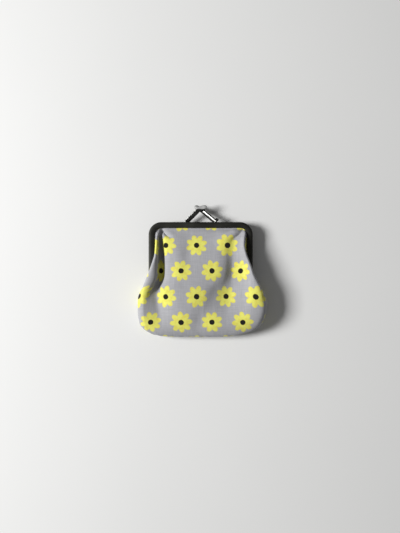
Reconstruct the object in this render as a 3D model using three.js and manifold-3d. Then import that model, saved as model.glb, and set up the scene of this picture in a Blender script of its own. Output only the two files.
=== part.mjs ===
// Coin pouch with a kiss-lock frame, lying on its back.
// Millimetres. +X to the right, +Y towards the clasp, +Z up from the surface that it lies on.
// Every piece is built about the parting plane of the frame (z = 0) and the top edge of the frame
// (y = 0), and the finished group is set down with its box centred over the origin.
// "Drop" is the distance below the top edge of the frame, "reach" the distance from the centre line,
// and "rise" the distance from the parting plane, towards the front or towards the back.
import * as THREE from "three";
import { mergeVertices } from "three/addons/utils/BufferGeometryUtils.js";
import Module from "manifold-3d";

// Metal frame: two U-shaped channels that meet at the parting plane
const FRAME_WIDTH = 83.5;
const FRAME_CORNER = 9.0;
const FRAME_FACE = 4.8;
const FRAME_DEPTH = 3.8;
const FRAME_EDGE = 1.3;
const FRAME_CHAMFER = 0.35;
const SHEET = 0.8;
const HALF_GAP = 0.2;
const ARM_DROP = 40.5;
const GAP = 0.3;
const EDGE_STEPS = 2;
const CORNER_STEPS = 5;
const NEAR = 1e-4;

// Hinge: a lug on each arm, the back pair inside the front pair, and a rivet through both
const HINGE_DROP = 44.0;
const LUG_TOP_DROP = 36.0;
const LUG_ROOT_RISE = HALF_GAP + FRAME_DEPTH - FRAME_EDGE;
const LUG_ROOT_INNER = 0.6;
const LUG_INSET = 0.05;
const EYE_RADIUS = 2.6;
const EYE_STEPS = 8;
const RIVET_RADIUS = 1.0;
const RIVET_HEAD_RADIUS = 1.9;
const RIVET_HEAD = 0.8;
const RIVET_DOME = [
  { radius: 1.0, height: 0.0 },
  { radius: 0.85, height: 0.6 },
  { radius: 0.45, height: 0.95 },
  { radius: 0.0, height: 1.0 },
];
const ROUND_SIDES = 16;

// Clasp: a half-round strip on each half, fixed through the top of the bar and crossing near its tip
const STRIP_WIDTH = 3.4;
const STRIP_THICKNESS = 1.2;
const STRIP_DOME = 0.7;
const DOME_STEPS = 3;
const STRIP_STEPS = 10;
const STRIP_TAPER = { from: 0.84, run: 0.2 };
const BEND_RISE = 1.0;
const TIP_RISE = -3.2;
const TAIL_WIDTH = 2.4;
const TAIL_SLOT_DEPTH = 1.2;
const COLLAR_WIDTH = 4.4;
const COLLAR_HEIGHT = 1.0;
const COLLAR_DEPTH = 2.2;
const CLASP_SEAT = 0.7;
const CLASPS = [
  { name: "clasp_front", side: 1, foot: 10.6, bendX: 3.9, bendY: 7.0, tipX: -3.0, tipY: 12.4 },
  { name: "clasp_back", side: -1, foot: -10.3, bendX: -1.2, bendY: 9.9, tipX: 3.4, tipY: 12.2 },
];
const KNOB = { on: "clasp_front", x: 12.2, y: 1.6, radius: 1.25, detail: 1 };

// Cloth: a wall held in the channels, in two panels that meet at the side and bottom seam
const CLOTH = 1.2;
const SLOT_RISE = HALF_GAP + FRAME_DEPTH / 2;
const TUCK = 2.6;
const SEAM_RISE = GAP / 2;
const BELOW_PARTING = 7.4;
const FLOOR_RISE = BELOW_PARTING - CLOTH / 2;
const MOUTH_DROP = FRAME_FACE + CLOTH / 2 + GAP;
const BOTTOM_DROP = 92.4;
const BEND_DROP = 70.0;

// Outermost reach of the cloth on each side, seen from the front
const OUTLINE = [
  { drop: 2.6, left: 35.4, right: 35.0 },
  { drop: 12.0, left: 36.0, right: 35.8 },
  { drop: 18.4, left: 36.3, right: 36.2 },
  { drop: 26.4, left: 36.8, right: 37.4 },
  { drop: 32.0, left: 38.6, right: 39.4 },
  { drop: 36.8, left: 40.7, right: 41.2 },
  { drop: 42.4, left: 43.6, right: 42.8 },
  { drop: 50.4, left: 45.9, right: 45.8 },
  { drop: 58.4, left: 50.2, right: 49.8 },
  { drop: 66.4, left: 51.2, right: 51.4 },
  { drop: 74.4, left: 51.0, right: 51.2 },
  { drop: 82.4, left: 49.6, right: 48.2 },
  { drop: 87.3, left: 45.0, right: 42.0 },
  { drop: 90.0, left: 39.6, right: 32.5 },
];

// Where the bottom corners leave the side seam, and how the bottom seam curves up to them
const CORNERS = {
  left: { drop: 87.3, power: 6.5 },
  right: { drop: 86.4, power: 4.2 },
};

// Edge of the cloth: in the arms' slots, inside the hinges, then out along the side seam
const SEAM_START_DROP = 48.2;
const EDGE = [
  { drop: 38.0, reach: FRAME_WIDTH / 2 - TUCK, rise: SLOT_RISE },
  { drop: 43.0, reach: 37.2, rise: 1.3 },
  { drop: SEAM_START_DROP, reach: 37.6, rise: SEAM_RISE },
  { drop: 51.0, reach: 42.4, rise: SEAM_RISE },
  { drop: 54.0, reach: 46.4, rise: SEAM_RISE },
  { drop: 58.4, reach: 51.0, rise: SEAM_RISE },
  { drop: 62.0, reach: 60.0, rise: SEAM_RISE },
];

// Each panel: rise along its middle (crown) and along the side rolls (left, right), and a fold on each side.
// A fold falls from a brink to a valley, which has a reach (at) and a depth (dip), and rises again to a
// shoulder: a run from the valley and the share of the depth there, for a sharp fold and for a soft one.
const FRONT = {
  name: "pouch_front",
  side: 1,
  highest: 20.0,
  rollDrop: 66.0,
  rollReach: 7.5,
  stepScale: 1.0,
  shape: [
    { drop: 2.6, crown: SLOT_RISE, left: SLOT_RISE, right: SLOT_RISE },
    { drop: MOUTH_DROP, crown: SLOT_RISE, left: SLOT_RISE, right: SLOT_RISE },
    { drop: 9.0, crown: 3.4, left: 3.4, right: 5.6 },
    { drop: 14.0, crown: 5.2, left: 6.2, right: 8.0 },
    { drop: 22.0, crown: 6.9, left: 7.6, right: 9.4 },
    { drop: 32.0, crown: 8.5, left: 8.4, right: 10.8 },
    { drop: 42.0, crown: 10.0, left: 9.0, right: 11.6 },
    { drop: 54.0, crown: 11.2, left: 9.6, right: 11.8 },
    { drop: 66.0, crown: 11.6, left: 9.8, right: 11.6 },
  ],
  left: {
    shoulder: { sharp: { run: 2.2, share: 0.3 }, soft: { run: 9.0, share: 0.3 } },
    valley: [
      { drop: MOUTH_DROP, brink: 34.2, at: 31.4, dip: 0.3, soft: 0.0 },
      { drop: 9.0, brink: 34.4, at: 31.4, dip: 1.6, soft: 0.0 },
      { drop: 14.0, brink: 34.6, at: 31.0, dip: 4.2, soft: 0.0 },
      { drop: 22.0, brink: 34.8, at: 30.2, dip: 6.0, soft: 0.0 },
      { drop: 30.0, brink: 35.3, at: 29.8, dip: 6.7, soft: 0.0 },
      { drop: 43.8, brink: 36.4, at: 29.8, dip: 7.0, soft: 0.0 },
      { drop: 48.5, brink: 38.6, at: 32.4, dip: 6.4, soft: 0.1 },
      { drop: 52.8, brink: 41.6, at: 35.4, dip: 5.4, soft: 0.4 },
      { drop: 57.0, brink: 43.4, at: 36.4, dip: 4.6, soft: 0.9 },
      { drop: 64.0, brink: 43.8, at: 35.6, dip: 3.6, soft: 1.0 },
      { drop: 72.0, brink: 43.4, at: 34.2, dip: 2.2, soft: 1.0 },
      { drop: 82.0, brink: 42.6, at: 33.0, dip: 0.0, soft: 1.0 },
    ],
  },
  right: {
    shoulder: { sharp: { run: 6.0, share: 0.34 }, soft: { run: 12.5, share: 0.38 } },
    valley: [
      { drop: MOUTH_DROP, brink: 33.5, at: 31.0, dip: 0.0, soft: 0.0 },
      { drop: 9.0, brink: 33.8, at: 30.4, dip: 1.6, soft: 0.0 },
      { drop: 14.0, brink: 34.4, at: 27.6, dip: 3.0, soft: 0.0 },
      { drop: 24.0, brink: 35.6, at: 25.6, dip: 3.6, soft: 0.0 },
      { drop: 31.0, brink: 37.4, at: 25.6, dip: 4.8, soft: 0.0 },
      { drop: 38.0, brink: 39.8, at: 25.4, dip: 5.8, soft: 0.0 },
      { drop: 46.0, brink: 42.2, at: 25.0, dip: 6.4, soft: 0.3 },
      { drop: 54.0, brink: 43.6, at: 24.4, dip: 6.6, soft: 0.85 },
      { drop: 63.0, brink: 43.8, at: 23.2, dip: 5.6, soft: 1.0 },
      { drop: 72.0, brink: 43.0, at: 21.4, dip: 3.4, soft: 1.0 },
      { drop: 82.0, brink: 41.0, at: 21.0, dip: 0.8, soft: 1.0 },
      { drop: 90.0, brink: 40.0, at: 21.0, dip: 0.0, soft: 1.0 },
    ],
  },
};
const BACK_SHOULDER = { sharp: { run: 5.0, share: 0.1 }, soft: { run: 9.0, share: 0.2 } };
const BACK = {
  name: "pouch_back",
  side: -1,
  highest: BELOW_PARTING,
  rollDrop: 80.0,
  rollReach: 9.0,
  stepScale: 1.5,
  shape: [
    { drop: 2.6, crown: SLOT_RISE, left: SLOT_RISE, right: SLOT_RISE },
    { drop: MOUTH_DROP, crown: SLOT_RISE, left: SLOT_RISE, right: SLOT_RISE },
    { drop: 9.0, crown: 3.2, left: 4.6, right: 4.6 },
    { drop: 14.0, crown: 5.0, left: 6.2, right: 6.2 },
    { drop: 20.0, crown: 6.4, left: FLOOR_RISE, right: FLOOR_RISE },
    { drop: 25.0, crown: FLOOR_RISE, left: FLOOR_RISE, right: FLOOR_RISE },
    { drop: 80.0, crown: FLOOR_RISE, left: FLOOR_RISE, right: FLOOR_RISE },
  ],
  left: {
    shoulder: BACK_SHOULDER,
    valley: [
      { drop: MOUTH_DROP, brink: 33.0, at: 30.5, dip: 0.0, soft: 0.0 },
      { drop: 16.0, brink: 32.4, at: 30.0, dip: 1.4, soft: 0.0 },
      { drop: 34.0, brink: 33.5, at: 29.0, dip: 2.2, soft: 0.0 },
      { drop: 58.0, brink: 39.0, at: 34.0, dip: 0.0, soft: 1.0 },
    ],
  },
  right: {
    shoulder: BACK_SHOULDER,
    valley: [
      { drop: MOUTH_DROP, brink: 33.0, at: 30.5, dip: 0.0, soft: 0.0 },
      { drop: 16.0, brink: 32.0, at: 29.6, dip: 1.2, soft: 0.0 },
      { drop: 34.0, brink: 33.0, at: 28.0, dip: 1.8, soft: 0.0 },
      { drop: 58.0, brink: 38.0, at: 33.0, dip: 0.0, soft: 1.0 },
    ],
  },
};

// Rows of the cloth mesh: how far apart they lie down to each drop, then how many round the bottom
const ROW_ZONES = [
  { to: MOUTH_DROP, step: 1.6 },
  { to: 15.0, step: 2.4 },
  { to: 38.0, step: 3.4 },
  { to: 58.0, step: 2.6 },
  { to: BOTTOM_DROP, step: 4.5 },
];
const ROLL_ROWS = 8;

// Where the side of a section changes from the turn out of the slot to the round of the seam
const LOWER_BLEND = { from: 46.5, to: 53.0 };
const UPPER_BLEND = { from: 50.0, to: 64.0 };

// Points of a section from its edge to its middle, and the mesh columns between each two of them
const CREST_DEGREES = 72;
const SECTION_COLUMNS = [1, 2, 2, 2, 1, 3, 3, 2, 1];
const SIDE_POINTS = [
  { key: "lip", degrees: 14, blend: LOWER_BLEND },
  { key: "turn", degrees: 30, blend: LOWER_BLEND },
  { key: "wall", degrees: 50, blend: UPPER_BLEND },
  { key: "crest", degrees: CREST_DEGREES, blend: UPPER_BLEND },
];
const CREST_ANGLE = THREE.MathUtils.degToRad(CREST_DEGREES);
const LIP_INSET = 0.55;
const TURN_INSET = 1.55;
const TURN_CLEARANCE = 0.1;
const LIP_REACH = FRAME_WIDTH / 2 - FRAME_FACE - LIP_INSET;
const TURN_REACH = FRAME_WIDTH / 2 - FRAME_FACE - TURN_INSET;
const TURN_RISE = HALF_GAP + FRAME_DEPTH + CLOTH / 2 + TURN_CLEARANCE;
const TURN_FULL_DROP = 14.0;
const CREST_SET_IN = 1.0;
const WALL_SHARE = 0.35;
const BRINK_SHARE = 0.08;
const BRINK_LIMIT = 0.6;
const VALLEY_LIMIT = 2.2;

const gunmetal = { color: 0x2b2b29, roughness: 0.38, metalness: 1.0 };
const steel = { color: 0x55544f, roughness: 0.3, metalness: 1.0 };
const cotton = { color: 0xb4b29c, roughness: 0.9, metalness: 0.0 };

const wasm = await Module();
wasm.setup();

function solidOf(geometry) {
  const bare = geometry.clone();
  bare.deleteAttribute("normal");
  bare.deleteAttribute("uv");
  const merged = mergeVertices(bare);
  const vertProperties = new Float32Array(merged.attributes.position.array);
  const triVerts = new Uint32Array(merged.index.array);
  return new wasm.Manifold(new wasm.Mesh({ numProp: 3, vertProperties, triVerts }));
}

function geometryOf(solid) {
  const { vertProperties, triVerts } = solid.getMesh();
  return indexedGeometry(vertProperties, triVerts);
}

function indexedGeometry(positions, triangles) {
  const geometry = new THREE.BufferGeometry();
  geometry.setAttribute("position", new THREE.BufferAttribute(new Float32Array(positions), 3));
  geometry.setIndex(new THREE.BufferAttribute(new Uint32Array(triangles), 1));
  geometry.computeVertexNormals();
  return geometry;
}

function piece(name, geometry, finish) {
  const mesh = new THREE.Mesh(geometry, new THREE.MeshStandardMaterial(finish));
  mesh.name = name;
  return mesh;
}

function boxBetween(low, high) {
  const box = new THREE.BoxGeometry(high.x - low.x, high.y - low.y, high.z - low.z);
  return box.translate((low.x + high.x) / 2, (low.y + high.y) / 2, (low.z + high.z) / 2);
}

// Solid through a row of like rings, capped at both ends; flip turns its faces round
function ringSolid(rings, outline, flip) {
  const count = outline.length;
  const positions = rings.flat().flatMap((point) => point.toArray());
  const triangles = [];
  const face = (a, b, c) => triangles.push(...(flip ? [a, c, b] : [a, b, c]));
  for (let ring = 0; ring + 1 < rings.length; ring += 1) {
    for (let k = 0; k < count; k += 1) {
      const here = ring * count + k;
      const next = ring * count + ((k + 1) % count);
      face(here, here + count, next);
      face(next, here + count, next + count);
    }
  }
  const last = (rings.length - 1) * count;
  for (const [a, b, c] of THREE.ShapeUtils.triangulateShape(outline, [])) {
    face(a, b, c);
    face(last + a, last + c, last + b);
  }
  return indexedGeometry(positions, triangles);
}

// Points of an outline or path, each one only once where two stretches meet
function withoutRepeats(points) {
  return points.filter((point, i) => point.distanceTo(points[(i + 1) % points.length]) > NEAR);
}

// Section of a channel: x is the inset from the outer edge, y the rise from its own parting face
function channelOutline() {
  const shape = new THREE.Shape();
  shape.moveTo(0, 0);
  shape.lineTo(FRAME_FACE, 0);
  shape.lineTo(FRAME_FACE, SHEET);
  shape.lineTo(SHEET, SHEET);
  shape.lineTo(SHEET, FRAME_DEPTH - SHEET);
  shape.lineTo(FRAME_FACE, FRAME_DEPTH - SHEET);
  shape.lineTo(FRAME_FACE, FRAME_DEPTH - FRAME_CHAMFER);
  shape.lineTo(FRAME_FACE - FRAME_CHAMFER, FRAME_DEPTH);
  shape.lineTo(FRAME_EDGE, FRAME_DEPTH);
  shape.absarc(FRAME_EDGE, FRAME_DEPTH - FRAME_EDGE, FRAME_EDGE, Math.PI / 2, Math.PI, false);
  return withoutRepeats(shape.getPoints(EDGE_STEPS));
}

// Outer edge of the frame, from the left arm's end over the bar to the right arm's end
function framePath() {
  const half = FRAME_WIDTH / 2;
  const path = new THREE.Path();
  path.moveTo(-half, -ARM_DROP);
  path.lineTo(-half, -FRAME_CORNER);
  path.absarc(-half + FRAME_CORNER, -FRAME_CORNER, FRAME_CORNER, Math.PI, Math.PI / 2, true);
  path.lineTo(half - FRAME_CORNER, 0);
  path.absarc(half - FRAME_CORNER, -FRAME_CORNER, FRAME_CORNER, Math.PI / 2, 0, true);
  path.lineTo(half, -ARM_DROP);
  return withoutRepeats(path.getPoints(CORNER_STEPS));
}

// Step inwards from a point of the path that keeps both neighbouring stretches parallel
function mitre(path, i) {
  const rightOf = (from, to) => {
    const along = to.clone().sub(from).normalize();
    return new THREE.Vector2(along.y, -along.x);
  };
  const before = rightOf(path[Math.max(i - 1, 0)], path[Math.max(i, 1)]);
  const after = rightOf(path[Math.min(i, path.length - 2)], path[Math.min(i + 1, path.length - 1)]);
  const middle = before.clone().add(after).normalize();
  return middle.divideScalar(middle.dot(before));
}

function channel(side) {
  const outline = channelOutline();
  const path = framePath();
  const rings = path.map((point, i) => {
    const inward = mitre(path, i);
    return outline.map(({ x, y }) => {
      const place = point.clone().addScaledVector(inward, x);
      return new THREE.Vector3(place.x, place.y, side * (HALF_GAP + y));
    });
  });
  return solidOf(ringSolid(rings, outline, side < 0));
}

// Hinge lug: a plate that runs down from the arm to a round eye on the hinge axis
function lug(side, low, high) {
  const rootRise = side > 0 ? LUG_ROOT_RISE : LUG_ROOT_RISE + SHEET;
  const eyeEnd = Math.PI * 2 + Math.asin(LUG_ROOT_INNER / EYE_RADIUS);
  const shape = new THREE.Shape();
  shape.moveTo(-LUG_TOP_DROP, LUG_ROOT_INNER);
  shape.lineTo(-LUG_TOP_DROP, rootRise);
  shape.lineTo(-ARM_DROP - LUG_INSET, rootRise);
  shape.lineTo(-HINGE_DROP, EYE_RADIUS);
  shape.absarc(-HINGE_DROP, 0, EYE_RADIUS, Math.PI / 2, eyeEnd, false);
  const plate = new THREE.ExtrudeGeometry(shape, {
    depth: high - low,
    bevelEnabled: false,
    curveSegments: EYE_STEPS,
  });
  const upright = new THREE.Matrix4().makeBasis(
    new THREE.Vector3(0, 1, 0),
    new THREE.Vector3(0, 0, 1),
    new THREE.Vector3(1, 0, 0),
  );
  plate.applyMatrix4(upright).translate(low, 0, 0);
  return side > 0 ? plate : plate.rotateY(Math.PI);
}

function frameHalf(name, side, clasp) {
  const outerFace = FRAME_WIDTH / 2 - LUG_INSET - (side > 0 ? 0 : SHEET + GAP);
  const innerFace = outerFace - SHEET + 2 * LUG_INSET;
  let solid = channel(side);
  solid = solid.add(solidOf(lug(side, innerFace, outerFace)));
  solid = solid.add(solidOf(lug(side, -outerFace, -innerFace)));
  const hole = new THREE.CylinderGeometry(
    RIVET_RADIUS + GAP,
    RIVET_RADIUS + GAP,
    FRAME_WIDTH + SHEET,
    ROUND_SIDES,
  );
  solid = solid.subtract(solidOf(hole.rotateZ(Math.PI / 2).translate(0, -HINGE_DROP, 0)));
  const tailHalf = TAIL_WIDTH / 2 + GAP;
  const tailRise = STRIP_THICKNESS / 2 + GAP;
  const slot = boxBetween(
    new THREE.Vector3(clasp.foot - tailHalf, -TAIL_SLOT_DEPTH, side * SLOT_RISE - tailRise),
    new THREE.Vector3(clasp.foot + tailHalf, SHEET, side * SLOT_RISE + tailRise),
  );
  return piece(name, geometryOf(solid.subtract(solidOf(slot))), gunmetal);
}

function hingeRivet(name, side) {
  const outer = FRAME_WIDTH / 2 + GAP;
  const inner = FRAME_WIDTH / 2 - 2 * SHEET - 2 * GAP;
  const profile = [
    [0, inner - RIVET_HEAD],
    [RIVET_HEAD_RADIUS, inner - RIVET_HEAD],
    [RIVET_HEAD_RADIUS, inner],
    [RIVET_RADIUS, inner],
    [RIVET_RADIUS, outer],
    ...RIVET_DOME.map((dome) => [RIVET_HEAD_RADIUS * dome.radius, outer + RIVET_HEAD * dome.height]),
  ].map(([radius, along]) => new THREE.Vector2(radius, along));
  const rivet = new THREE.LatheGeometry(profile, ROUND_SIDES);
  return piece(name, rivet.rotateZ((-side * Math.PI) / 2).translate(0, -HINGE_DROP, 0), gunmetal);
}

// Section of the clasp strip: x across it, y through its thickness, domed on the outer face
function stripOutline() {
  const half = STRIP_WIDTH / 2;
  const shape = new THREE.Shape();
  shape.moveTo(-half, -STRIP_THICKNESS / 2);
  shape.lineTo(half, -STRIP_THICKNESS / 2);
  shape.lineTo(half, 0);
  shape.quadraticCurveTo(half * STRIP_DOME, STRIP_THICKNESS / 2, 0, STRIP_THICKNESS / 2);
  shape.quadraticCurveTo(-half * STRIP_DOME, STRIP_THICKNESS / 2, -half, 0);
  return shape.getPoints(DOME_STEPS).slice(0, -1);
}

// Clasp tongue: the strip rises from a collar on the bar and curls past the other half at its tip.
// A knob stands beside the foot of one of the two.
function claspTongue(clasp) {
  const { name, side, foot } = clasp;
  const path = new THREE.QuadraticBezierCurve3(
    new THREE.Vector3(foot, GAP + CLASP_SEAT, SLOT_RISE),
    new THREE.Vector3(clasp.bendX, clasp.bendY, BEND_RISE),
    new THREE.Vector3(clasp.tipX, clasp.tipY, TIP_RISE),
  );
  const outline = stripOutline();
  const rings = [];
  for (let step = 0; step <= STRIP_STEPS; step += 1) {
    const along = step / STRIP_STEPS;
    const tangent = path.getTangent(along);
    const across = new THREE.Vector3(0, 0, 1).cross(tangent).normalize();
    const outward = tangent.clone().cross(across);
    const past = Math.max(0, along - STRIP_TAPER.from) / STRIP_TAPER.run;
    const taper = Math.sqrt(1 - past * past);
    const point = path.getPoint(along);
    rings.push(outline.map(({ x, y }) => {
      const place = point.clone().addScaledVector(across, x * taper).addScaledVector(outward, y);
      place.z *= side;
      return place;
    }));
  }
  const strip = solidOf(ringSolid(rings, outline, side > 0));
  const block = (halfX, lowY, highY, halfZ) => solidOf(boxBetween(
    new THREE.Vector3(foot - halfX, lowY, side * SLOT_RISE - halfZ),
    new THREE.Vector3(foot + halfX, highY, side * SLOT_RISE + halfZ),
  ));
  const under = -SHEET - GAP;
  const collar = block(COLLAR_WIDTH / 2, GAP, GAP + COLLAR_HEIGHT, COLLAR_DEPTH / 2);
  const tail = block(TAIL_WIDTH / 2, under - CLASP_SEAT / 2, GAP * 2, STRIP_THICKNESS / 2);
  const rivetedEnd = block(COLLAR_WIDTH / 2, under - CLASP_SEAT, under, STRIP_THICKNESS / 2);
  let solid = strip.add(collar).add(tail).add(rivetedEnd);
  if (name === KNOB.on) {
    const knob = new THREE.IcosahedronGeometry(KNOB.radius, KNOB.detail);
    solid = solid.add(solidOf(knob.translate(KNOB.x, KNOB.y, side * SLOT_RISE)));
  }
  return piece(name, geometryOf(solid), steel);
}

// Value of a table's column at a drop: a smooth curve through its rows that doesn't overshoot
function valueAt(table, column, drop) {
  const last = table.length - 1;
  if (drop <= table[0].drop) return table[0][column];
  if (drop >= table[last].drop) return table[last][column];
  const i = table.findIndex((row) => row.drop > drop) - 1;
  const slope = (k) => {
    if (k === 0 || k === last) return 0;
    const [before, here, after] = [table[k - 1], table[k], table[k + 1]];
    if ((here[column] - before[column]) * (after[column] - here[column]) <= 0) return 0;
    return (after[column] - before[column]) / (after.drop - before.drop);
  };
  const run = table[i + 1].drop - table[i].drop;
  const t = (drop - table[i].drop) / run;
  const start = table[i][column];
  const end = table[i + 1][column];
  return start + (end - start) * t * t * (3 - 2 * t)
    + run * t * (1 - t) * ((1 - t) * slope(i) - t * slope(i + 1));
}

// Drop of the line that runs round inside the frame's corner at a given inset from its outer edge
function cornerDrop(reach, inset) {
  const past = reach - (FRAME_WIDTH / 2 - FRAME_CORNER);
  const radius = FRAME_CORNER - inset;
  if (past <= 0) return inset;
  return FRAME_CORNER - Math.sqrt(Math.max(radius * radius - past * past, 0));
}

// Edge of the cloth in the slot round the frame's corner, from the bar's end to the arm's end of it
function cornerEdge(drop) {
  const share = (drop - TUCK) / (FRAME_CORNER - TUCK);
  const angle = THREE.MathUtils.lerp(Math.PI / 4, Math.PI / 2, share);
  const radius = FRAME_CORNER - TUCK;
  return {
    reach: FRAME_WIDTH / 2 - FRAME_CORNER + radius * Math.sin(angle),
    drop: FRAME_CORNER - radius * Math.cos(angle),
  };
}

// Points of half a section, from the edge of the cloth to the middle: reach, drop and rise of each
function halfSection(panel, hand, drop) {
  const corner = CORNERS[hand];
  const squeeze = (corner.drop - BEND_DROP) / (BOTTOM_DROP - BEND_DROP);
  const sideDrop = drop > BEND_DROP ? BEND_DROP + (drop - BEND_DROP) * squeeze : drop;
  const past = Math.max(0, (drop - panel.rollDrop) / (BOTTOM_DROP - panel.rollDrop));
  const fullness = Math.sqrt(Math.max(0, 1 - past * past));
  const rolled = (rise) => SEAM_RISE + (rise - SEAM_RISE) * fullness;
  const reach = valueAt(OUTLINE, hand, sideDrop) - CLOTH / 2;
  const crown = rolled(valueAt(panel.shape, "crown", drop));
  const crest = rolled(valueAt(panel.shape, hand, drop));

  const seamLimit = drop < SEAM_START_DROP ? FRAME_WIDTH : reach;
  const edgeReach = Math.min(valueAt(EDGE, "reach", sideDrop), seamLimit);
  const turnIn = THREE.MathUtils.smoothstep(drop, MOUTH_DROP, TURN_FULL_DROP);
  const turnRise = THREE.MathUtils.lerp(SLOT_RISE, TURN_RISE, turnIn);
  const held = {
    lip: [LIP_REACH, SLOT_RISE],
    turn: [TURN_REACH, turnRise],
    wall: [reach, turnRise + (crest - turnRise) * WALL_SHARE],
    crest: [reach - CREST_SET_IN, crest],
  };
  const height = (crest - SEAM_RISE) / Math.sin(CREST_ANGLE);
  const points = [[edgeReach, valueAt(EDGE, "rise", drop)]];
  for (const { key, degrees, blend } of SIDE_POINTS) {
    const toSeam = THREE.MathUtils.smoothstep(drop, blend.from, blend.to);
    const angle = THREE.MathUtils.degToRad(degrees);
    const seamReach = reach - panel.rollReach * (1 - Math.cos(angle));
    const seamRise = SEAM_RISE + height * Math.sin(angle);
    points.push([
      THREE.MathUtils.lerp(held[key][0], seamReach, toSeam),
      THREE.MathUtils.lerp(held[key][1], seamRise, toSeam),
    ]);
  }

  const crestReach = points[points.length - 1][0];
  const topRise = (at) => crown + (crest - crown) * (at / crestReach) ** 2;
  const fold = panel[hand];
  const brink = Math.min(valueAt(fold.valley, "brink", drop), crestReach - BRINK_LIMIT);
  const at = Math.min(valueAt(fold.valley, "at", drop), brink - VALLEY_LIMIT);
  const dip = valueAt(fold.valley, "dip", drop) * fullness;
  const { sharp, soft } = fold.shoulder;
  const softness = valueAt(fold.valley, "soft", drop);
  const shoulder = at - THREE.MathUtils.lerp(sharp.run, soft.run, softness);
  const shoulderShare = THREE.MathUtils.lerp(sharp.share, soft.share, softness);
  points.push([brink, topRise(brink) - dip * BRINK_SHARE]);
  points.push([at, topRise(at) - dip]);
  points.push([shoulder, topRise(shoulder) - dip * shoulderShare]);
  points.push([shoulder / 2, topRise(shoulder / 2)]);
  points.push([0, crown]);

  const section = points.map(([x, rise]) => {
    const top = Math.max(drop, cornerDrop(x, Math.min(drop, MOUTH_DROP)));
    const y = top + (sideDrop - drop) * (x / reach) ** corner.power;
    return { reach: x, drop: y, rise };
  });
  if (drop < FRAME_CORNER) Object.assign(section[0], cornerEdge(drop));
  return section;
}

// One row of the cloth's middle surface, from the left edge to the right edge
function clothRow(panel, drop) {
  const placed = (hand, sign) => halfSection(panel, hand, drop).map(
    (point) => new THREE.Vector3(sign * point.reach, -point.drop, panel.side * point.rise),
  );
  const left = placed("left", -1);
  const right = placed("right", 1);
  const points = [...left, ...right.reverse().slice(1)];
  const columns = [...SECTION_COLUMNS, ...[...SECTION_COLUMNS].reverse()];
  const curve = new THREE.CatmullRomCurve3(points, false, "centripetal");
  const row = [];
  columns.forEach((count, i) => {
    for (let k = 0; k < count; k += 1) {
      row.push(curve.getPoint((i + k / count) / columns.length));
    }
  });
  row.push(points[points.length - 1]);
  return row;
}

function rowDrops(panel) {
  const drops = [TUCK];
  for (const zone of ROW_ZONES) {
    const start = drops[drops.length - 1];
    const end = Math.min(zone.to, panel.rollDrop);
    const count = Math.ceil((end - start) / (zone.step * panel.stepScale));
    for (let k = 1; k <= count; k += 1) drops.push(start + ((end - start) * k) / count);
  }
  for (let k = 1; k <= ROLL_ROWS; k += 1) {
    const angle = (Math.PI / 2) * (k / ROLL_ROWS);
    drops.push(panel.rollDrop + (BOTTOM_DROP - panel.rollDrop) * Math.sin(angle));
  }
  return drops;
}

// Keeps a point of the cloth on its own side of the parting plane and above the surface below
function withinRise(panel, point) {
  const rise = THREE.MathUtils.clamp(panel.side * point.z, SEAM_RISE, panel.highest);
  return point.setZ(panel.side * rise);
}

// Cloth panel: its middle surface thickened to both sides and closed round its edge
function clothPanel(panel) {
  const rows = rowDrops(panel).map((drop) => clothRow(panel, drop));
  const rowCount = rows.length;
  const columnCount = rows[0].length;
  const outer = [];
  const inner = [];
  rows.forEach((row, r) => row.forEach((point, c) => {
    const across = row[Math.min(c + 1, columnCount - 1)].clone().sub(row[Math.max(c - 1, 0)]);
    const down = rows[Math.min(r + 1, rowCount - 1)][c].clone().sub(rows[Math.max(r - 1, 0)][c]);
    const normal = down.cross(across).normalize().multiplyScalar((panel.side * CLOTH) / 2);
    outer.push(withinRise(panel, point.clone().add(normal)));
    inner.push(withinRise(panel, point.clone().sub(normal)));
  }));
  const size = outer.length;
  const positions = [...outer, ...inner].flatMap((point) => point.toArray());
  const triangles = [];
  const quad = (a, b, c, d) => {
    const faces = panel.side > 0 ? [a, b, c, a, c, d] : [a, c, b, a, d, c];
    triangles.push(...faces);
  };
  const index = (r, c) => r * columnCount + c;
  for (let r = 0; r + 1 < rowCount; r += 1) {
    for (let c = 0; c + 1 < columnCount; c += 1) {
      const corners = [index(r, c), index(r + 1, c), index(r + 1, c + 1), index(r, c + 1)];
      quad(...corners);
      quad(...corners.map((corner) => corner + size).reverse());
    }
  }
  const rim = [];
  for (let r = 0; r + 1 < rowCount; r += 1) rim.push(index(r, 0));
  for (let c = 0; c + 1 < columnCount; c += 1) rim.push(index(rowCount - 1, c));
  for (let r = rowCount - 1; r > 0; r -= 1) rim.push(index(r, columnCount - 1));
  for (let c = columnCount - 1; c > 0; c -= 1) rim.push(index(0, c));
  rim.forEach((here, i) => {
    const next = rim[(i + 1) % rim.length];
    quad(here, here + size, next + size, next);
  });
  return piece(panel.name, indexedGeometry(positions, triangles), cotton);
}

const pouch = new THREE.Group();
pouch.name = "kiss_lock_pouch";
pouch.add(frameHalf("frame_front", 1, CLASPS[0]));
pouch.add(frameHalf("frame_back", -1, CLASPS[1]));
pouch.add(hingeRivet("hinge_rivet_left", -1));
pouch.add(hingeRivet("hinge_rivet_right", 1));
for (const clasp of CLASPS) pouch.add(claspTongue(clasp));
pouch.add(clothPanel(FRONT));
pouch.add(clothPanel(BACK));

const extent = new THREE.Box3().setFromObject(pouch);
const middle = extent.getCenter(new THREE.Vector3());
pouch.position.set(-middle.x, -middle.y, BELOW_PARTING);

export default pouch;
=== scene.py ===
"""Looks of a small kiss-lock coin pouch that lies on its back: printed cotton in a dark metal frame.

Tables and shape functions work in millimetres about the frame: x to the right of its centre line, drop
downwards from its top edge, and rise from the plane where its two halves meet. "Reach" is the distance
from the centre line to either side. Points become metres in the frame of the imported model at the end.
"""

import math

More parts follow.
